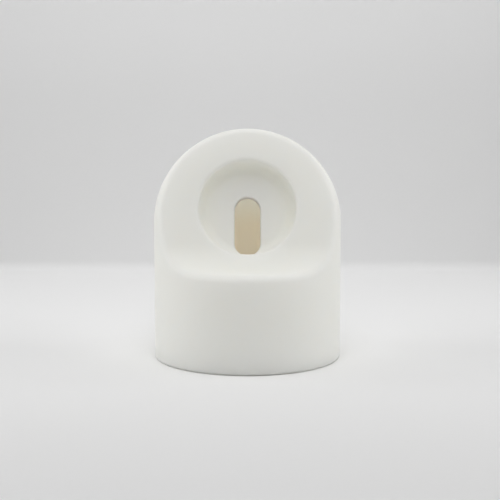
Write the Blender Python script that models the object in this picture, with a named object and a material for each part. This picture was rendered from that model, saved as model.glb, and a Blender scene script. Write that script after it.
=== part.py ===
"""A watch charging dock, moulded in one piece from soft white silicone. Units are metres, +Z is up.

The body is an upright capsule that stands on its flat end. A seat is scooped out of its front, at -Y:
a level ledge, a concave sweep and a face that leans back. A round recess in the face holds the
charging puck. A slot in the recess floor leads the puck's cable into a channel, which runs down to
the open base, and a groove under the base lets the cable out at the back.
"""

import functools
import math

import bmesh
import bpy
from mathutils import Vector

# Body
BODY_RADIUS = 0.0276
BODY_HEIGHT = 0.0674
BASE_ROUND = 0.0009

# Seat in the front of the body
FACE_TILT = math.radians(17.5)
FACE_LEAD = 0.0107  # the face is this far in front of the body's axis at the puck's centre
PUCK_RISE = 0.0053  # the puck's centre is this far above the centre of the dome
LEDGE_DROP = 0.0176  # the ledge is this far below the puck's centre
SWEEP_RADIUS = 0.0108
SEAT_ROUND = 0.0021  # rounding of the outer edge, all the way round the seat

# Recess for the charging puck
PUCK_RADIUS = 0.01375
PUCK_CLEARANCE = 0.0001
RECESS_DEPTH = 0.0060  # the puck stands a little proud of the face
RIM_ROUND = 0.0009
FLOOR_ROUND = 0.0032  # fits the rounded back edge of the puck

# Slot in the recess floor
SLOT_WIDTH = 0.0075
SLOT_ABOVE = 0.0044  # its upper end, above the puck's centre
SLOT_BELOW = 0.0130  # its lower end, below the puck's centre
SLOT_LIP = 0.0004

# Channel behind the slot, open at the base
CHANNEL_WIDTH = 0.0090
CHANNEL_LENGTH = 0.0070
CHANNEL_CORNER = 0.0020
CHANNEL_WALL = 0.0020  # silicone between the recess floor and the channel, at the top of the slot

# Groove from the channel out to the back
GROOVE_WIDTH = 0.0050
GROOVE_HEIGHT = 0.0050
GROOVE_CORNER = 0.0015

# Fineness of the surface
HALF_RIBS = 66
DOME_STEPS = 16
SEAT_STEPS = 10
EDGE_STEPS = 5
RIM_STEPS = 3
SMALL_STEPS = 3
ROUND_END_STEPS = 12
EDGE_SAMPLES = 600
KNEE = 0.003  # the dome's rows start this far under the seat's edge, where that edge is low
CUT_PAST = 0.001  # how far a cutter runs past the surface that it opens
CLOSE = 1e-7  # points nearer than this are one point

SILICONE_COLOUR = (0.86, 0.86, 0.83, 1.0)
SILICONE_ROUGHNESS = 0.55

# Derived
DOME_CENTRE = BODY_HEIGHT - BODY_RADIUS
CORE_RADIUS = BODY_RADIUS - SEAT_ROUND
ACROSS = Vector((1.0, 0.0, 0.0))
BACK = Vector((0.0, 1.0, 0.0))
UP = Vector((0.0, 0.0, 1.0))
FACE_UP = Vector((0.0, math.sin(FACE_TILT), math.cos(FACE_TILT)))
FACE_OUT = Vector((0.0, -math.cos(FACE_TILT), math.sin(FACE_TILT)))
PUCK_CENTRE = Vector((0.0, -FACE_LEAD, DOME_CENTRE + PUCK_RISE))
LEDGE_HEIGHT = PUCK_CENTRE.z - LEDGE_DROP
RECESS_RADIUS = PUCK_RADIUS + PUCK_CLEARANCE
SWEEP_Z = LEDGE_HEIGHT + SWEEP_RADIUS
SWEEP_Y = PUCK_CENTRE.y - (SWEEP_RADIUS - (SWEEP_Z - PUCK_CENTRE.z) * FACE_OUT.z) / FACE_UP.z
SWEEP_CENTRE = Vector((0.0, SWEEP_Y, SWEEP_Z))
SWEEP_START = SWEEP_Y + BODY_RADIUS
SWEEP_END = SWEEP_START + SWEEP_RADIUS * (math.pi / 2 - FACE_TILT)
FACE_START = SWEEP_CENTRE - SWEEP_RADIUS * FACE_OUT
PUCK_ALONG = SWEEP_END + (PUCK_CENTRE - FACE_START).dot(FACE_UP)


def clear_scene():
    for found in list(bpy.data.objects):
        bpy.data.objects.remove(found, do_unlink=True)


def silicone():
    material = bpy.data.materials.new("white_silicone")
    material.use_nodes = True
    shader = material.node_tree.nodes["Principled BSDF"]
    shader.inputs["Base Color"].default_value = SILICONE_COLOUR
    shader.inputs["Roughness"].default_value = SILICONE_ROUGHNESS
    shader.inputs["Metallic"].default_value = 0.0
    return material


def solve(function, low, high):
    """Where a rising function crosses zero, by halving."""
    for _ in range(60):
        middle = (low + high) / 2
        if function(middle) < 0:
            low = middle
        else:
            high = middle
    return (low + high) / 2


def arc(centre, radius, start, end, steps):
    """Points on the arc round centre from unit vector start to unit vector end, both ends included."""
    angle = start.angle(end)
    points = []
    for step in range(steps + 1):
        turned = angle * step / steps
        direction = math.sin(angle - turned) * start + math.sin(turned) * end
        points.append(centre + radius * direction.normalized())
    return points


def seat(along):
    """Point and outward normal on the seat's profile, at a distance along it from the body's front."""
    if along < SWEEP_START:
        return Vector((0.0, along - BODY_RADIUS, LEDGE_HEIGHT)), Vector((0.0, 0.0, 1.0))
    if along < SWEEP_END:
        turn = (along - SWEEP_START) / SWEEP_RADIUS
        normal = Vector((0.0, -math.sin(turn), math.cos(turn)))
        return SWEEP_CENTRE - SWEEP_RADIUS * normal, normal
    return FACE_START + (along - SWEEP_END) * FACE_UP, FACE_OUT.copy()


def on_seat(across, along):
    return seat(along)[0] + across * ACROSS


def capsule_normal(point):
    """Direction from the body's axis, or from the dome's centre above it, to a point."""
    rise = max(0.0, point.z - DOME_CENTRE)
    return Vector((point.x, point.y, rise)).normalized()


def edge_ball(along):
    """Centre of a ball that rolls inside the seat's outer edge, and the seat's normal where it touches.

    The ball's radius is SEAT_ROUND. Past the front or the top of the edge it stays on the body's axis.
    """
    touch, normal = seat(along)
    centre = touch - SEAT_ROUND * normal
    centre.x = math.sqrt(max(0.0, room_across(centre)))
    return centre, normal


def room_across(centre):
    """Square of the distance from the middle to the core's surface, negative outside the core."""
    rise = max(0.0, centre.z - DOME_CENTRE)
    return CORE_RADIUS**2 - centre.y**2 - rise**2


@functools.cache
def edge_top():
    """Distance along the seat at which its edge crosses the middle, at the top of the face."""

    def outside(along):
        return -room_across(seat(along)[0] - SEAT_ROUND * FACE_OUT)

    return solve(outside, PUCK_ALONG, 2 * BODY_HEIGHT)


@functools.cache
def edge_spring():
    """Distance along the seat at which its edge passes from the upright wall to the dome."""

    def over_wall(along):
        return edge_ball(along)[0].z - DOME_CENTRE

    return solve(over_wall, SWEEP_START, edge_top())


def foot_azimuth(outward):
    """Azimuth at which a rib comes down the wall, from the body's outward normal at the seat's edge.

    It is the edge's own azimuth on the wall. On the dome it turns on to the back as the edge rises.
    """
    if outward.z <= 0.0:
        return azimuth_of(outward)
    spring = azimuth_of(edge_ball(edge_spring())[0])
    highest = capsule_normal(edge_ball(edge_top())[0])
    return spring + (math.pi - spring) * math.asin(outward.z) / math.asin(highest.z)


def azimuth_of(point):
    return math.atan2(point.x, -point.y)


def edge_stations():
    """Distances along the seat at which the ribs cross its edge, from the front to the top.

    They are spaced evenly by the length of the edge and by the turn round the base taken together.
    """
    reach = edge_top() - SEAT_ROUND
    alongs = []
    for index in range(EDGE_SAMPLES + 1):
        share = (1 - math.cos(math.pi * index / EDGE_SAMPLES)) / 2
        alongs.append(SEAT_ROUND + reach * share)
    centres = [edge_ball(along)[0] for along in alongs]
    feet = [BODY_RADIUS * foot_azimuth(capsule_normal(centre)) for centre in centres]
    lengths = [0.0]
    for index in range(1, len(alongs)):
        step = (centres[index] - centres[index - 1]).length
        lengths.append(lengths[-1] + math.hypot(step, feet[index] - feet[index - 1]))
    chosen = []
    index = 0
    for rib_index in range(HALF_RIBS + 1):
        while index < EDGE_SAMPLES and lengths[index] < lengths[-1] * rib_index / HALF_RIBS:
            index += 1
        chosen.append(alongs[index])
    return chosen


def base_and_wall(outward, height):
    """A rib's points from the flat base up the capsule, short of the point where the seat's edge begins.

    That point is given by the capsule's outward normal there and, on the wall, by its height.
    """
    azimuth = foot_azimuth(outward)
    foot = Vector((math.sin(azimuth), -math.cos(azimuth), 0.0))
    centre = (BODY_RADIUS - BASE_ROUND) * foot + BASE_ROUND * UP
    points = arc(centre, BASE_ROUND, -UP, foot, SMALL_STEPS)
    if outward.z > 0.0:
        return points + arc(DOME_CENTRE * UP, BODY_RADIUS, foot, outward, DOME_STEPS)[:-1]
    for step in range(DOME_STEPS):
        points.append(BODY_RADIUS * foot + (height - KNEE * (1 - step / DOME_STEPS)) * UP)
    return points


def rim_and_recess(angle):
    """A rib's points from the seat into the recess, down its wall and on to its floor.

    The angle is measured round the puck from straight up. It returns where the rib leaves the seat,
    as distances across and along it, and the points from there.
    """
    radial = math.sin(angle) * ACROSS + math.cos(angle) * FACE_UP
    reach = RECESS_RADIUS + RIM_ROUND

    def past(along):
        touch, normal = seat(along)
        return (touch - RIM_ROUND * normal - PUCK_CENTRE).dot(FACE_UP) - reach * math.cos(angle)

    along = solve(past, 0.0, 2 * BODY_HEIGHT)
    touch, normal = seat(along)
    centre = touch - RIM_ROUND * normal + reach * math.sin(angle) * ACROSS
    points = arc(centre, RIM_ROUND, normal, -radial, RIM_STEPS)
    corner = PUCK_CENTRE + (RECESS_RADIUS - FLOOR_ROUND) * radial - (RECESS_DEPTH - FLOOR_ROUND) * FACE_OUT
    points += arc(corner, FLOOR_ROUND, radial, -FACE_OUT, SMALL_STEPS)
    return (centre.x, along), points


def rib(along):
    """One line of points from the base up the wall, over the seat's edge and down into the recess."""
    centre, normal = edge_ball(along)
    outward = capsule_normal(centre)
    edge = arc(centre, SEAT_ROUND, outward, normal, EDGE_STEPS)
    angle = math.atan2(centre.x, along - PUCK_ALONG)
    (rim_across, rim_along), inner = rim_and_recess(angle)
    points = base_and_wall(outward, edge[0].z) + edge
    for step in range(1, SEAT_STEPS):
        share = step / SEAT_STEPS
        across = centre.x + (rim_across - centre.x) * share
        points.append(on_seat(across, along + (rim_along - along) * share))
    return points + inner


def mirrored(points):
    return [Vector((-point.x, point.y, point.z)) for point in points]


def object_from(name, mesh_data):
    """A linked object from a bmesh, with its faces turned outwards and shaded smooth."""
    bmesh.ops.recalc_face_normals(mesh_data, faces=mesh_data.faces)
    mesh = bpy.data.meshes.new(name)
    mesh_data.to_mesh(mesh)
    mesh_data.free()
    mesh.shade_smooth()
    mesh.set_sharp_from_angle(angle=math.radians(40))
    made = bpy.data.objects.new(name, mesh)
    bpy.context.scene.collection.objects.link(made)
    return made


def skin(name, lines, closed):
    """A solid lofted through lines of points, with its two ends capped.

    Closed lofts join the last line to the first and cap the lines' ends. Open ones are rings, each
    joined to the next, with the first and the last capped.
    """
    mesh_data = bmesh.new()
    rows = [[mesh_data.verts.new(point) for point in line] for line in lines]
    if not closed:
        rows = [list(row) for row in zip(*rows)]
    for index, row in enumerate(rows):
        beside = rows[(index + 1) % len(rows)]
        for step in range(len(row) - 1):
            mesh_data.faces.new((row[step], row[step + 1], beside[step + 1], beside[step]))
    mesh_data.faces.new([row[0] for row in rows])
    mesh_data.faces.new([row[-1] for row in rows])
    return object_from(name, mesh_data)


def make_body():
    half = [rib(along) for along in edge_stations()]
    other_half = [mirrored(points) for points in reversed(half[1:-1])]
    return skin("dock_body", half + other_half, closed=True)


def outline(centre, side, long_way, width, above, below, corner):
    """Points of a rectangle with rounded corners, width wide, that reaches above and below its centre.

    With a corner of half the width it has round ends.
    """
    points = []
    corners = ((1, above - corner), (-1, above - corner), (-1, below + corner), (1, below + corner))
    for index, (sign, reach) in enumerate(corners):
        middle = centre + sign * (width / 2 - corner) * side + reach * long_way
        for step in range(ROUND_END_STEPS + 1):
            turn = math.pi / 2 * (index + step / ROUND_END_STEPS)
            point = middle + corner * (math.cos(turn) * side + math.sin(turn) * long_way)
            if not any((point - other).length < CLOSE for other in points):
                points.append(point)
    return points


def floor_point(rise):
    """The point of the recess floor on the body's middle plane, so far above the puck's centre."""
    return PUCK_CENTRE - RECESS_DEPTH * FACE_OUT + rise * FACE_UP


def slot_ring(level, grown):
    """The slot's outline at a level above the recess floor, grown on all sides."""
    width = SLOT_WIDTH + 2 * grown
    centre = floor_point(0.0) + level * FACE_OUT
    return outline(centre, ACROSS, FACE_UP, width, SLOT_ABOVE + grown, -SLOT_BELOW - grown, width / 2)


def make_slot():
    """Cutter for the slot, from a small rounded lip in the recess floor to the channel."""
    depth = (channel_front() - floor_point(-SLOT_BELOW).y) / FACE_UP.z + CUT_PAST
    rings = [slot_ring(FLOOR_ROUND, SLOT_LIP)]
    for step in range(1, EDGE_STEPS + 1):
        turn = math.pi / 2 * step / EDGE_STEPS
        rings.append(slot_ring(-SLOT_LIP * (1 - math.cos(turn)), SLOT_LIP * (1 - math.sin(turn))))
    rings.append(slot_ring(-depth, 0.0))
    return skin("slot_cutter", rings, closed=False)


def channel_front():
    return floor_point(SLOT_ABOVE).y + CHANNEL_WALL


def make_channel():
    """Cutter for the upright channel, from under the base to the top of the slot."""
    rings = []
    for z in (-CUT_PAST, floor_point(SLOT_ABOVE).z):
        front = Vector((0.0, channel_front(), z))
        rings.append(outline(front, ACROSS, BACK, CHANNEL_WIDTH, CHANNEL_LENGTH, 0.0, CHANNEL_CORNER))
    return skin("channel_cutter", rings, closed=False)


def make_groove():
    """Cutter for the groove under the base, from the channel out to the back."""
    rings = []
    for y in (channel_front() + CHANNEL_LENGTH / 2, BODY_RADIUS + CUT_PAST):
        under = Vector((0.0, y, -GROOVE_HEIGHT))
        rings.append(outline(under, ACROSS, UP, GROOVE_WIDTH, 2 * GROOVE_HEIGHT, 0.0, GROOVE_CORNER))
    return skin("groove_cutter", rings, closed=False)


def cut(body, cutter):
    cutter.hide_render = True
    cutter.display_type = "WIRE"
    modifier = body.modifiers.new(cutter.name, "BOOLEAN")
    modifier.operation = "DIFFERENCE"
    modifier.solver = "EXACT"
    modifier.object = cutter


def main():
    clear_scene()
    body = make_body()
    body.data.materials.append(silicone())
    for cutter in (make_slot(), make_channel(), make_groove()):
        cut(body, cutter)


main()
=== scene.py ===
"""Looks of the watch charging dock on a plain pale set, seen as in the photograph.

Units are metres, +Z is up and the dock's front faces -Y. The dock is built once more here from the
same sizes as its solid, with finer steps, so that its roundings shade smoothly.
"""

import functools
import math

import bmesh
import bpy
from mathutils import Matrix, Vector


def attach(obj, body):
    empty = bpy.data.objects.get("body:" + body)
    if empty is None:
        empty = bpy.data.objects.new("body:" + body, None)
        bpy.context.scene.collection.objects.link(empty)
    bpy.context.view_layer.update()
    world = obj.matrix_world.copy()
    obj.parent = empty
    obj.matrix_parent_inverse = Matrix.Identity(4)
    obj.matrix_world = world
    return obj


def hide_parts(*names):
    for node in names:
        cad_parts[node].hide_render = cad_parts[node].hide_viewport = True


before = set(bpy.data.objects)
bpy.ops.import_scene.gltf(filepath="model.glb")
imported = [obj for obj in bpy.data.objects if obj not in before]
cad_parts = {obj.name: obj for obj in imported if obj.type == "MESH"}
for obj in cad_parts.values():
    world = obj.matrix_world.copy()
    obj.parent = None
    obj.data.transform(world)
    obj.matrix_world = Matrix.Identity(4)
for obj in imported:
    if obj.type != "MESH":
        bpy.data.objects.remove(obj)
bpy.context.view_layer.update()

# Body
BODY_RADIUS = 0.0276
BODY_HEIGHT = 0.0674
BASE_ROUND = 0.0009

# Seat in the front of the body
FACE_TILT = math.radians(17.5)
FACE_LEAD = 0.0107  # the face is this far in front of the body's axis at the puck's centre
PUCK_RISE = 0.0053  # the puck's centre is this far above the centre of the dome
LEDGE_DROP = 0.0176  # the ledge is this far below the puck's centre
SWEEP_RADIUS = 0.0108
SEAT_ROUND = 0.0021

# Recess for the charging puck
RECESS_RADIUS = 0.01385
RECESS_DEPTH = 0.0060
RIM_ROUND = 0.0009
FLOOR_ROUND = 0.0032

# Slot, channel and groove for the cable
SLOT_WIDTH = 0.0075
SLOT_ABOVE = 0.0044
SLOT_BELOW = 0.0130
SLOT_LIP = 0.0004
CHANNEL_WIDTH = 0.0090
CHANNEL_LENGTH = 0.0070
CHANNEL_CORNER = 0.0020
CHANNEL_WALL = 0.0020
GROOVE_WIDTH = 0.0050
GROOVE_HEIGHT = 0.0050
GROOVE_CORNER = 0.0015

# Fineness of the surface
HALF_RIBS = 110
DOME_STEPS = 30
SEAT_STEPS = 22
EDGE_STEPS = 10
RIM_STEPS = 7
SMALL_STEPS = 7
ROUND_END_STEPS = 20
EDGE_SAMPLES = 2000
HALVINGS = 60  # steps that find a crossing
KNEE = 0.003  # the dome's rows start this far under the seat's edge, where that edge is low
CUT_PAST = 0.001  # how far a cutter runs past the surface that it opens
CLOSE = 1e-7  # points nearer than this are one point
SHARP_ANGLE = math.radians(40)

# Silicone: its colours, with painted light beside the slot and a painted warm glow in the channel, and how
# far light scatters under its surface
SILICONE_FIRST = (0.930, 0.928, 0.866)
SILICONE_SECOND = (0.940, 0.939, 0.881)
# Painted light: the recess floor is painted lighter at the slot's edge
SILICONE_PAINTED_LIGHT_BESIDE = (0.992, 0.990, 0.915)  # at the slot's edge
# Painted glow: warm light and shade painted into the colour in the channel, lighter at the top, darker low
# down
PAINTED_GLOW_INSIDE_TOP = (0.999, 0.905, 0.790)
PAINTED_GLOW_INSIDE_LOW = (0.999, 0.835, 0.705)
SCATTER_SHARE = 0.55  # of the outside's light, the part that scatters under the surface first
SCATTER = 0.012
SCATTER_BESIDE = 0.003
SCATTER_PASSAGE = 0.0015
SCATTER_INSIDE = 0.050
SCATTER_COLOURS = (1.0, 0.95, 0.9)
BESIDE_FADE = 0.0075  # outwards from the slot's edge
INSIDE_START = 0.0014  # behind the recess floor
INSIDE_FADE = 0.0008
PAINTED_GLOW_LOW_DROP = 0.004  # from this far below the puck's centre down, the painted glow is the low, darker one
CLOUD_SCALE = 90.0  # cycles per metre, as for the next scales
CLOUD_DETAIL = 3.0
GRAIN_SCALE = 2600.0
GRAIN_DETAIL = 4.0
GRAIN_BUMP = 0.12
GRAIN_HEIGHT = 0.00004
SMOOTHEST = 0.50
ROUGHEST = 0.62

# Paper set
BACKDROP_Y = 0.203
COVE_RADIUS = 0.005
COVE_STEPS = 12
SET_HALF_WIDTH = 0.75
BACKDROP_HEIGHT = 0.45
FLOOR_FRONT = -0.65
PAPER_ROUGHNESS = 0.9
PAPER_SHINE = 0.2
FIBRE_SCALE = 900.0
FIBRE_DETAIL = 4.0
FIBRE_TONE = 0.010  # the fibre is lighter or darker than the paper by up to this share
PAPER_MIDDLE = -0.008  # where the painted side shade is least and the paper lightest, across
PAPER_SIDE_SHADE = 3.6  # how fast painted shade darkens it to the sides, per square metre
PAPER_SIDE_SHADE_LEAST = 0.92  # and the least share of the middle's grey that this painted shade leaves
PAPER_SHADED_FRONT = 0.74  # the paper's painted shade in front of the dock
PAPER_SHADED_FLOOR = 0.88  # its painted shade under the dock and behind it
PAPER_SHADED_FOOT = 0.85  # its painted shade low on the backdrop
PAPER_SHADED_ABOVE = 0.90  # its painted shade higher on the backdrop
FLOOR_CHANGE = (-0.15, 0.00)  # from where to where along the sheet, as y + z, the painted shade changes
FOOT_CHANGE = (0.19, 0.25)
ABOVE_CHANGE = (0.28, 0.34)

# Soft lamps: name, place, size across and power. All are square and face the dock.
LAMPS = (
    ("overhead", (0.0, 0.0, 0.80), 0.6, 0.85),
    ("overhead_front", (0.0, -0.5, 0.65), 0.5, 2.0),
    ("overhead_small", (0.0, -0.05, 0.60), 0.15, 0.35),
    ("front", (0.0, -0.8, 0.45), 0.4, 0.3),
    ("left", (-0.70, -0.10, 0.35), 0.5, 1.2),
    ("right", (0.70, -0.10, 0.35), 0.5, 1.3),
    ("left_back", (-0.60, 0.20, 0.25), 0.35, 1.2),
    ("right_back", (0.60, 0.20, 0.25), 0.35, 1.0),
)
ROOM_LIGHT = 0.02
ROOM_SEEN = 0.60  # how bright the room looks beyond the paper

# Camera, as fitted to the photograph
PICTURE = 500
FOCAL_PIXELS = 912.0
CAMERA_DISTANCE = 0.270
CAMERA_HEIGHT = 0.0597
CAMERA_PITCH = math.radians(5.937)
OBJECT_COLUMN = 247.5
SENSOR_MM = 36.0
CAMERA_NEAR = 0.01

# Derived
DOME_CENTRE = BODY_HEIGHT - BODY_RADIUS
CORE_RADIUS = BODY_RADIUS - SEAT_ROUND
ACROSS = Vector((1.0, 0.0, 0.0))
BACK = Vector((0.0, 1.0, 0.0))
UP = Vector((0.0, 0.0, 1.0))
FACE_UP = Vector((0.0, math.sin(FACE_TILT), math.cos(FACE_TILT)))
FACE_OUT = Vector((0.0, -math.cos(FACE_TILT), math.sin(FACE_TILT)))
PUCK_CENTRE = Vector((0.0, -FACE_LEAD, DOME_CENTRE + PUCK_RISE))
LEDGE_HEIGHT = PUCK_CENTRE.z - LEDGE_DROP
SWEEP_Z = LEDGE_HEIGHT + SWEEP_RADIUS
SWEEP_Y = PUCK_CENTRE.y - (SWEEP_RADIUS - (SWEEP_Z - PUCK_CENTRE.z) * FACE_OUT.z) / FACE_UP.z
SWEEP_CENTRE = Vector((0.0, SWEEP_Y, SWEEP_Z))
SWEEP_START = SWEEP_Y + BODY_RADIUS
SWEEP_END = SWEEP_START + SWEEP_RADIUS * (math.pi / 2 - FACE_TILT)
FACE_START = SWEEP_CENTRE - SWEEP_RADIUS * FACE_OUT
PUCK_ALONG = SWEEP_END + (PUCK_CENTRE - FACE_START).dot(FACE_UP)


def solve(function, low, high):
    """Where a rising function crosses zero, by halving."""
    for _ in range(HALVINGS):
        middle = (low + high) / 2
        if function(middle) < 0:
            low = middle
        else:
            high = middle
    return (low + high) / 2


def arc(centre, radius, start, end, steps):
    """Points on the arc round centre from unit vector start to unit vector end, both ends included."""
    angle = start.angle(end)
    points = []
    for step in range(steps + 1):
        turned = angle * step / steps
        direction = math.sin(angle - turned) * start + math.sin(turned) * end
        points.append(centre + radius * direction.normalized())
    return points


def seat(along):
    """Point and outward normal on the seat's profile, at a distance along it from the body's front."""
    if along < SWEEP_START:
        return Vector((0.0, along - BODY_RADIUS, LEDGE_HEIGHT)), Vector((0.0, 0.0, 1.0))
    if along < SWEEP_END:
        turn = (along - SWEEP_START) / SWEEP_RADIUS
        normal = Vector((0.0, -math.sin(turn), math.cos(turn)))
        return SWEEP_CENTRE - SWEEP_RADIUS * normal, normal
    return FACE_START + (along - SWEEP_END) * FACE_UP, FACE_OUT.copy()


def on_seat(across, along):
    """The point of the seat at a distance from its middle line and a distance along it."""
    return seat(along)[0] + across * ACROSS


def capsule_normal(point):
    """Direction from the body's axis, or from the dome's centre above it, to a point."""
    rise = max(0.0, point.z - DOME_CENTRE)
    return Vector((point.x, point.y, rise)).normalized()


def edge_ball(along):
    """Centre of a ball that rolls inside the seat's outer edge, and the seat's normal where it touches."""
    touch, normal = seat(along)
    centre = touch - SEAT_ROUND * normal
    centre.x = math.sqrt(max(0.0, room_across(centre)))
    return centre, normal


def room_across(centre):
    """Square of the distance from the middle to the core's surface, negative outside the core."""
    rise = max(0.0, centre.z - DOME_CENTRE)
    return CORE_RADIUS**2 - centre.y**2 - rise**2


@functools.cache
def edge_top():
    """Distance along the seat at which its edge crosses the middle, at the top of the face."""

    def outside(along):
        return -room_across(seat(along)[0] - SEAT_ROUND * FACE_OUT)

    return solve(outside, PUCK_ALONG, 2 * BODY_HEIGHT)


@functools.cache
def edge_spring():
    """Distance along the seat at which its edge passes from the upright wall to the dome."""

    def over_wall(along):
        return edge_ball(along)[0].z - DOME_CENTRE

    return solve(over_wall, SWEEP_START, edge_top())


def foot_azimuth(outward):
    """Azimuth at which a rib comes down the wall, from the body's outward normal at the seat's edge."""
    if outward.z <= 0.0:
        return azimuth_of(outward)
    spring = azimuth_of(edge_ball(edge_spring())[0])
    highest = capsule_normal(edge_ball(edge_top())[0])
    return spring + (math.pi - spring) * math.asin(outward.z) / math.asin(highest.z)


def azimuth_of(point):
    """Angle of a point round the body's axis, from the front."""
    return math.atan2(point.x, -point.y)


def edge_stations():
    """Distances along the seat at which the ribs cross its edge, from the front to the top."""
    reach = edge_top() - SEAT_ROUND
    alongs = []
    for index in range(EDGE_SAMPLES + 1):
        share = (1 - math.cos(math.pi * index / EDGE_SAMPLES)) / 2
        alongs.append(SEAT_ROUND + reach * share)
    centres = [edge_ball(along)[0] for along in alongs]
    feet = [BODY_RADIUS * foot_azimuth(capsule_normal(centre)) for centre in centres]
    lengths = [0.0]
    for index in range(1, len(alongs)):
        step = (centres[index] - centres[index - 1]).length
        lengths.append(lengths[-1] + math.hypot(step, feet[index] - feet[index - 1]))
    chosen = []
    index = 0
    for rib_index in range(HALF_RIBS + 1):
        while index < EDGE_SAMPLES and lengths[index] < lengths[-1] * rib_index / HALF_RIBS:
            index += 1
        chosen.append(alongs[index])
    return chosen


def base_and_wall(outward, height):
    """A rib's points from the flat base up the capsule, short of the point where the seat's edge begins."""
    azimuth = foot_azimuth(outward)
    foot = Vector((math.sin(azimuth), -math.cos(azimuth), 0.0))
    centre = (BODY_RADIUS - BASE_ROUND) * foot + BASE_ROUND * UP
    points = arc(centre, BASE_ROUND, -UP, foot, SMALL_STEPS)
    if outward.z > 0.0:
        return points + arc(DOME_CENTRE * UP, BODY_RADIUS, foot, outward, DOME_STEPS)[:-1]
    for step in range(DOME_STEPS):
        points.append(BODY_RADIUS * foot + (height - KNEE * (1 - step / DOME_STEPS)) * UP)
    return points


def rim_and_recess(angle):
    """A rib's points from the seat into the recess, down its wall and on to its floor."""
    radial = math.sin(angle) * ACROSS + math.cos(angle) * FACE_UP
    reach = RECESS_RADIUS + RIM_ROUND

    def past(along):
        touch, normal = seat(along)
        return (touch - RIM_ROUND * normal - PUCK_CENTRE).dot(FACE_UP) - reach * math.cos(angle)

    along = solve(past, 0.0, 2 * BODY_HEIGHT)
    touch, normal = seat(along)
    centre = touch - RIM_ROUND * normal + reach * math.sin(angle) * ACROSS
    points = arc(centre, RIM_ROUND, normal, -radial, RIM_STEPS)
    corner = PUCK_CENTRE + (RECESS_RADIUS - FLOOR_ROUND) * radial - (RECESS_DEPTH - FLOOR_ROUND) * FACE_OUT
    points += arc(corner, FLOOR_ROUND, radial, -FACE_OUT, SMALL_STEPS)
    return (centre.x, along), points


def rib(along):
    """One line of points from the base up the wall, over the seat's edge and down into the recess."""
    centre, normal = edge_ball(along)
    outward = capsule_normal(centre)
    edge = arc(centre, SEAT_ROUND, outward, normal, EDGE_STEPS)
    angle = math.atan2(centre.x, along - PUCK_ALONG)
    (rim_across, rim_along), inner = rim_and_recess(angle)
    points = base_and_wall(outward, edge[0].z) + edge
    for step in range(1, SEAT_STEPS):
        share = step / SEAT_STEPS
        across = centre.x + (rim_across - centre.x) * share
        points.append(on_seat(across, along + (rim_along - along) * share))
    return points + inner


def mirrored(points):
    """The same points on the other side of the body's middle plane."""
    return [Vector((-point.x, point.y, point.z)) for point in points]


def object_from(name, mesh_data):
    """A linked object from a bmesh, with its faces turned outwards and shaded smooth."""
    bmesh.ops.recalc_face_normals(mesh_data, faces=mesh_data.faces)
    mesh = bpy.data.meshes.new(name)
    mesh_data.to_mesh(mesh)
    mesh_data.free()
    mesh.shade_smooth()
    made = bpy.data.objects.new(name, mesh)
    bpy.context.scene.collection.objects.link(made)
    return made


def skin(name, lines, closed):
    """A solid lofted through lines of points, with its two ends capped."""
    mesh_data = bmesh.new()
    rows = [[mesh_data.verts.new(point) for point in line] for line in lines]
    if not closed:
        rows = [list(row) for row in zip(*rows)]
    for index, row in enumerate(rows):
        beside = rows[(index + 1) % len(rows)]
        for step in range(len(row) - 1):
            mesh_data.faces.new((row[step], row[step + 1], beside[step + 1], beside[step]))
    mesh_data.faces.new([row[0] for row in rows])
    mesh_data.faces.new([row[-1] for row in rows])
    return object_from(name, mesh_data)


def make_body():
    """The body with its seat and recess, lofted through its ribs."""
    half = [rib(along) for along in edge_stations()]
    other_half = [mirrored(points) for points in reversed(half[1:-1])]
    return skin("dock_silicone", half + other_half, closed=True)


def outline(centre, side, long_way, width, above, below, corner):
    """Points of a rectangle with rounded corners, width wide, that reaches above and below its centre."""
    points = []
    corners = ((1, above - corner), (-1, above - corner), (-1, below + corner), (1, below + corner))
    for index, (sign, reach) in enumerate(corners):
        middle = centre + sign * (width / 2 - corner) * side + reach * long_way
        for step in range(ROUND_END_STEPS + 1):
            turn = math.pi / 2 * (index + step / ROUND_END_STEPS)
            point = middle + corner * (math.cos(turn) * side + math.sin(turn) * long_way)
            if not any((point - other).length < CLOSE for other in points):
                points.append(point)
    return points


def floor_point(rise):
    """The point of the recess floor on the body's middle plane, so far above the puck's centre."""
    return PUCK_CENTRE - RECESS_DEPTH * FACE_OUT + rise * FACE_UP


def slot_ring(level, grown):
    """The slot's outline at a level above the recess floor, grown on all sides."""
    width = SLOT_WIDTH + 2 * grown
    centre = floor_point(0.0) + level * FACE_OUT
    return outline(centre, ACROSS, FACE_UP, width, SLOT_ABOVE + grown, -SLOT_BELOW - grown, width / 2)


def make_slot():
    """Cutter for the slot, from a small rounded lip in the recess floor to the channel."""
    depth = (channel_front() - floor_point(-SLOT_BELOW).y) / FACE_UP.z + CUT_PAST
    rings = [slot_ring(FLOOR_ROUND, SLOT_LIP)]
    for step in range(1, SMALL_STEPS + 1):
        turn = math.pi / 2 * step / SMALL_STEPS
        rings.append(slot_ring(-SLOT_LIP * (1 - math.cos(turn)), SLOT_LIP * (1 - math.sin(turn))))
    rings.append(slot_ring(-depth, 0.0))
    return skin("slot_cutter", rings, closed=False)


def channel_front():
    """Where the channel begins, a wall's thickness behind the top of the slot."""
    return floor_point(SLOT_ABOVE).y + CHANNEL_WALL


def make_channel():
    """Cutter for the upright channel, from under the base to the top of the slot."""
    rings = []
    for z in (-CUT_PAST, floor_point(SLOT_ABOVE).z):
        front = Vector((0.0, channel_front(), z))
        rings.append(outline(front, ACROSS, BACK, CHANNEL_WIDTH, CHANNEL_LENGTH, 0.0, CHANNEL_CORNER))
    return skin("channel_cutter", rings, closed=False)


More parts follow.
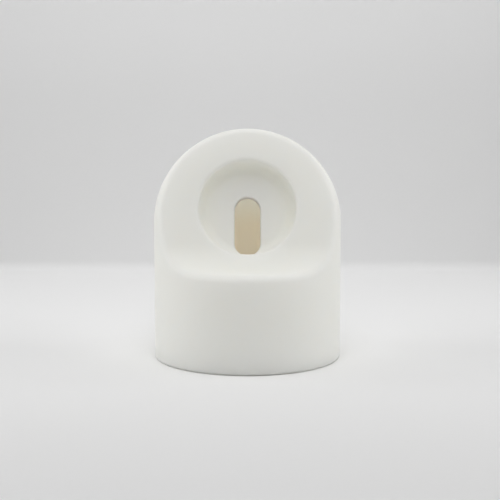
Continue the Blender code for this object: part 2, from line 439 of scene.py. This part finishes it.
def make_groove():
    """Cutter for the groove under the base, from the channel out to the back."""
    rings = []
    for y in (channel_front() + CHANNEL_LENGTH / 2, BODY_RADIUS + CUT_PAST):
        under = Vector((0.0, y, -GROOVE_HEIGHT))
        rings.append(outline(under, ACROSS, UP, GROOVE_WIDTH, 2 * GROOVE_HEIGHT, 0.0, GROOVE_CORNER))
    return skin("groove_cutter", rings, closed=False)


def cut(body, cutters):
    """Cuts the cutters out of the body for good, and removes them."""
    for cutter in cutters:
        modifier = body.modifiers.new(cutter.name, "BOOLEAN")
        modifier.operation = "DIFFERENCE"
        modifier.solver = "EXACT"
        modifier.object = cutter
    graph = bpy.context.evaluated_depsgraph_get()
    cut_mesh = bpy.data.meshes.new_from_object(body.evaluated_get(graph), depsgraph=graph)
    body.modifiers.clear()
    body.data = cut_mesh
    for cutter in cutters:
        bpy.data.objects.remove(cutter, do_unlink=True)
    cut_mesh.shade_smooth()
    cut_mesh.set_sharp_from_angle(angle=SHARP_ANGLE)
    flat = body.modifiers.new("flat_faces_lead", "WEIGHTED_NORMAL")
    flat.keep_sharp = True


# Materials

class Graph:
    """The nodes of a material or of the room, with short ways to add and join them."""

    def __init__(self, owner):
        owner.use_nodes = True
        self.nodes = owner.node_tree.nodes
        self.links = owner.node_tree.links

    def feed(self, socket, value):
        """Gives a socket a plain value, or joins another node's output to it."""
        if isinstance(value, bpy.types.NodeSocket):
            self.links.new(value, socket)
        else:
            socket.default_value = value

    def place(self):
        """The object's own coordinates."""
        return self.nodes.new("ShaderNodeTexCoord").outputs["Object"]

    def parts(self, vector):
        """The three coordinates of a vector."""
        node = self.nodes.new("ShaderNodeSeparateXYZ")
        self.feed(node.inputs["Vector"], vector)
        return node.outputs["X"], node.outputs["Y"], node.outputs["Z"]

    def math(self, operation, first, second=0.0):
        """A sum on one or two numbers."""
        node = self.nodes.new("ShaderNodeMath")
        node.operation = operation
        self.feed(node.inputs[0], first)
        self.feed(node.inputs[1], second)
        return node.outputs["Value"]

    def vector_math(self, operation, first, second, result="Vector"):
        """A sum on two vectors, whose result is a vector or a number."""
        node = self.nodes.new("ShaderNodeVectorMath")
        node.operation = operation
        self.feed(node.inputs[0], first)
        self.feed(node.inputs[1], second)
        return node.outputs[result]

    def noise(self, place, scale, detail):
        """Soft random values from 0 to 1, with so many cycles per metre."""
        node = self.nodes.new("ShaderNodeTexNoise")
        node.inputs["Scale"].default_value = scale
        node.inputs["Detail"].default_value = detail
        self.feed(node.inputs["Vector"], place)
        return node.outputs["Fac"]

    def ramp(self, value, start, end, kind="LINEAR"):
        """0 up to the start, 1 from the end on, and a straight or a soft change between them."""
        node = self.nodes.new("ShaderNodeMapRange")
        node.interpolation_type = kind
        node.inputs["From Min"].default_value = start
        node.inputs["From Max"].default_value = end
        self.feed(node.inputs["Value"], value)
        return node.outputs["Result"]

    def between(self, share, low, high):
        """The low value where the share is 0, and the high one where it is 1."""
        node = self.nodes.new("ShaderNodeMapRange")
        self.feed(node.inputs["Value"], share)
        self.feed(node.inputs["To Min"], low)
        self.feed(node.inputs["To Max"], high)
        return node.outputs["Result"]

    def mixed(self, share, first, second):
        """The first colour where the share is 0, and the second where it is 1."""
        node = self.nodes.new("ShaderNodeMix")
        node.data_type = "RGBA"
        self.feed(node.inputs["Factor"], share)
        for side, colour in (("A", first), ("B", second)):
            plain = isinstance(colour, tuple)
            self.feed(node.inputs[side], (*colour, 1.0) if plain else colour)
        return node.outputs["Result"]


def depth_behind_floor(graph, place):
    """How far a point of the slot or the channel lies behind the recess floor, and 0 elsewhere."""
    from_floor = graph.vector_math("SUBTRACT", place, floor_point(0.0))
    depth = graph.vector_math("DOT_PRODUCT", from_floor, -FACE_OUT, "Value")
    back = channel_front() + CHANNEL_LENGTH + CUT_PAST
    low = Vector((-CHANNEL_WIDTH, -BODY_RADIUS, BASE_ROUND))
    high = Vector((CHANNEL_WIDTH, back, floor_point(SLOT_ABOVE).z + CUT_PAST))
    from_middle = graph.vector_math("SUBTRACT", place, (low + high) / 2)
    reached = graph.vector_math("DIVIDE", from_middle, (high - low) / 2)
    x, y, z = [graph.math("ABSOLUTE", part) for part in graph.parts(reached)]
    furthest = graph.math("MAXIMUM", graph.math("MAXIMUM", x, y), z)
    return graph.math("MULTIPLY", depth, graph.math("LESS_THAN", furthest, 1.0))


def share_beside_slot(graph, place):
    """1 up to the slot's edge on the recess floor, and less with the distance from it."""
    high = floor_point(SLOT_ABOVE - SLOT_WIDTH / 2)
    low = floor_point(SLOT_WIDTH / 2 - SLOT_BELOW)
    from_middle = graph.vector_math("SUBTRACT", place, (high + low) / 2)
    along = graph.vector_math("DOT_PRODUCT", from_middle, FACE_UP, "Value")
    outward = graph.vector_math("DOT_PRODUCT", from_middle, FACE_OUT, "Value")
    past_end = graph.math("SUBTRACT", graph.math("ABSOLUTE", along), (high - low).length / 2)
    distance = graph.nodes.new("ShaderNodeCombineXYZ")
    graph.feed(distance.inputs["X"], graph.parts(from_middle)[0])
    graph.feed(distance.inputs["Y"], graph.math("MAXIMUM", past_end, 0.0))
    graph.feed(distance.inputs["Z"], outward)
    length = graph.vector_math("LENGTH", distance.outputs["Vector"], (0.0, 0.0, 0.0), "Value")
    return graph.ramp(length, SLOT_WIDTH / 2 + BESIDE_FADE, SLOT_WIDTH / 2)


def silicone():
    """Soft white silicone: faintly warm, matt and see-through enough to glow inside its slot, partly by
    scattering under its surface and partly by a warm glow painted into its colour.
    """
    material = bpy.data.materials.new("white_silicone")
    graph = Graph(material)
    shader = graph.nodes["Principled BSDF"]
    place = graph.place()
    grain = graph.noise(place, GRAIN_SCALE, GRAIN_DETAIL)
    depth = depth_behind_floor(graph, place)
    beside = share_beside_slot(graph, place)
    passage = graph.ramp(depth, 0.0, SLOT_LIP)
    inside = graph.ramp(depth, INSIDE_START, INSIDE_START + INSIDE_FADE)

    graph.feed(shader.inputs["Base Color"], silicone_colour(graph, place, beside, inside))
    graph.feed(shader.inputs["Roughness"], graph.between(grain, SMOOTHEST, ROUGHEST))
    bump = graph.nodes.new("ShaderNodeBump")
    bump.inputs["Strength"].default_value = GRAIN_BUMP
    bump.inputs["Distance"].default_value = GRAIN_HEIGHT
    graph.feed(bump.inputs["Height"], grain)
    graph.feed(shader.inputs["Normal"], bump.outputs["Normal"])

    scatter = graph.between(beside, SCATTER, SCATTER_BESIDE)
    scatter = graph.between(passage, scatter, SCATTER_PASSAGE)
    scatter = graph.between(inside, scatter, SCATTER_INSIDE)
    graph.feed(shader.inputs["Subsurface Scale"], scatter)
    graph.feed(shader.inputs["Subsurface Weight"], graph.between(passage, SCATTER_SHARE, 1.0))
    shader.inputs["Subsurface Radius"].default_value = SCATTER_COLOURS
    return material


def silicone_colour(graph, place, beside, inside):
    """Nearly even outside, painted a little lighter beside the slot, and with a painted warm glow in the
    channel behind it, lighter at the top and darker low down.
    """
    cloud = graph.noise(place, CLOUD_SCALE, CLOUD_DETAIL)
    outside = graph.mixed(cloud, SILICONE_FIRST, SILICONE_SECOND)
    # Painted light: a little lighter on the recess floor beside the slot
    outside = graph.mixed(beside, outside, SILICONE_PAINTED_LIGHT_BESIDE)
    # Painted glow in the channel behind the slot, lighter at the top and darker low down
    height = graph.parts(place)[2]
    rise = graph.ramp(height, floor_point(0.0).z - PAINTED_GLOW_LOW_DROP, floor_point(SLOT_ABOVE).z)
    glow = graph.mixed(rise, PAINTED_GLOW_INSIDE_LOW, PAINTED_GLOW_INSIDE_TOP)
    return graph.mixed(inside, outside, glow)


def paper():
    """Matt seamless paper with a faint fibre. Its grey is painted shade that changes slowly along the sheet
    and darkens it to its sides.
    """
    material = bpy.data.materials.new("set_paper")
    graph = Graph(material)
    shader = graph.nodes["Principled BSDF"]
    place = graph.place()
    x, y, z = graph.parts(place)
    # Painted shade: the paper is darker to the sides
    aside = graph.math("SUBTRACT", x, PAPER_MIDDLE)
    darker = graph.math("MULTIPLY", graph.math("MULTIPLY", aside, aside), -PAPER_SIDE_SHADE)
    darker = graph.math("MAXIMUM", darker, PAPER_SIDE_SHADE_LEAST - 1)
    fibre = graph.noise(place, FIBRE_SCALE, FIBRE_DETAIL)
    share = graph.math("ADD", darker, graph.between(fibre, 1 - FIBRE_TONE, 1 + FIBRE_TONE))
    # Painted shade: the grey changes along the sheet
    grey = painted_paper_shade(graph, graph.math("ADD", y, z))
    graph.feed(shader.inputs["Base Color"], graph.math("MULTIPLY", grey, share))
    shader.inputs["Roughness"].default_value = PAPER_ROUGHNESS
    shader.inputs["Specular IOR Level"].default_value = PAPER_SHINE
    return material


def painted_paper_shade(graph, along):
    """The paper's painted shade at a distance along the sheet, with a soft change from each tone to the
    next.
    """
    grey = PAPER_SHADED_FRONT
    changes = ((FLOOR_CHANGE, PAPER_SHADED_FLOOR), (FOOT_CHANGE, PAPER_SHADED_FOOT), (ABOVE_CHANGE, PAPER_SHADED_ABOVE))
    for (start, end), next_grey in changes:
        grey = graph.between(graph.ramp(along, start, end, "SMOOTHSTEP"), grey, next_grey)
    return grey


# Dock, set, light and camera

def make_dock():
    """The dock in its one material, in place of its solid."""
    body = make_body()
    cut(body, [make_slot(), make_channel(), make_groove()])
    body.data.materials.clear()
    body.data.materials.append(silicone())
    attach(body, "root")
    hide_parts("dock_body")


def make_set():
    """One sheet of paper: floor, cove and backdrop."""
    profile = [(FLOOR_FRONT, 0.0)]
    for step in range(COVE_STEPS + 1):
        turn = math.pi / 2 * step / COVE_STEPS
        y = BACKDROP_Y - COVE_RADIUS * (1 - math.sin(turn))
        profile.append((y, COVE_RADIUS * (1 - math.cos(turn))))
    profile.append((BACKDROP_Y, BACKDROP_HEIGHT))
    mesh_data = bmesh.new()
    left = [mesh_data.verts.new((-SET_HALF_WIDTH, y, z)) for y, z in profile]
    right = [mesh_data.verts.new((SET_HALF_WIDTH, y, z)) for y, z in profile]
    for step in range(len(profile) - 1):
        mesh_data.faces.new((right[step], right[step + 1], left[step + 1], left[step]))
    mesh = bpy.data.meshes.new("paper_set")
    mesh_data.to_mesh(mesh)
    mesh_data.free()
    mesh.shade_smooth()
    sheet = bpy.data.objects.new("paper_set", mesh)
    bpy.context.scene.collection.objects.link(sheet)
    sheet.data.materials.append(paper())


def make_lamp(name, place, size, power):
    """A square soft lamp that faces the dock."""
    lamp = bpy.data.lights.new(name, "AREA")
    lamp.shape = "SQUARE"
    lamp.size = size
    lamp.energy = power
    made = bpy.data.objects.new(name, lamp)
    made.location = place
    aim = Vector((0.0, 0.0, BODY_HEIGHT / 2)) - Vector(place)
    made.rotation_euler = aim.to_track_quat("-Z", "Y").to_euler()
    bpy.context.scene.collection.objects.link(made)


def make_room():
    """Faint light from all round. Seen directly or in a reflection, the room is as pale as the paper."""
    world = bpy.data.worlds.new("soft_room")
    graph = Graph(world)
    rays = graph.nodes.new("ShaderNodeLightPath").outputs
    seen = graph.math("MAXIMUM", rays["Is Camera Ray"], rays["Is Glossy Ray"])
    seen = graph.math("MAXIMUM", seen, rays["Is Transmission Ray"])
    background = graph.nodes["Background"]
    graph.feed(background.inputs["Strength"], graph.between(seen, ROOM_LIGHT, ROOM_SEEN))
    background.inputs["Color"].default_value = (1.0, 1.0, 1.0, 1.0)
    bpy.context.scene.world = world


def make_camera():
    """The photograph's camera: straight in front, above the middle and tipped down a little."""
    camera = bpy.data.cameras.new("camera")
    camera.sensor_width = SENSOR_MM
    camera.lens = FOCAL_PIXELS / PICTURE * SENSOR_MM
    camera.shift_x = (PICTURE / 2 - OBJECT_COLUMN) / PICTURE
    camera.clip_start = CAMERA_NEAR
    made = bpy.data.objects.new("camera", camera)
    made.location = (0.0, -CAMERA_DISTANCE, CAMERA_HEIGHT)
    made.rotation_euler = (math.pi / 2 - CAMERA_PITCH, 0.0, 0.0)
    bpy.context.scene.collection.objects.link(made)
    bpy.context.scene.camera = made


make_dock()
make_set()
for lamp_values in LAMPS:
    make_lamp(*lamp_values)
make_room()
make_camera()
bpy.context.scene.view_settings.view_transform = "Standard"
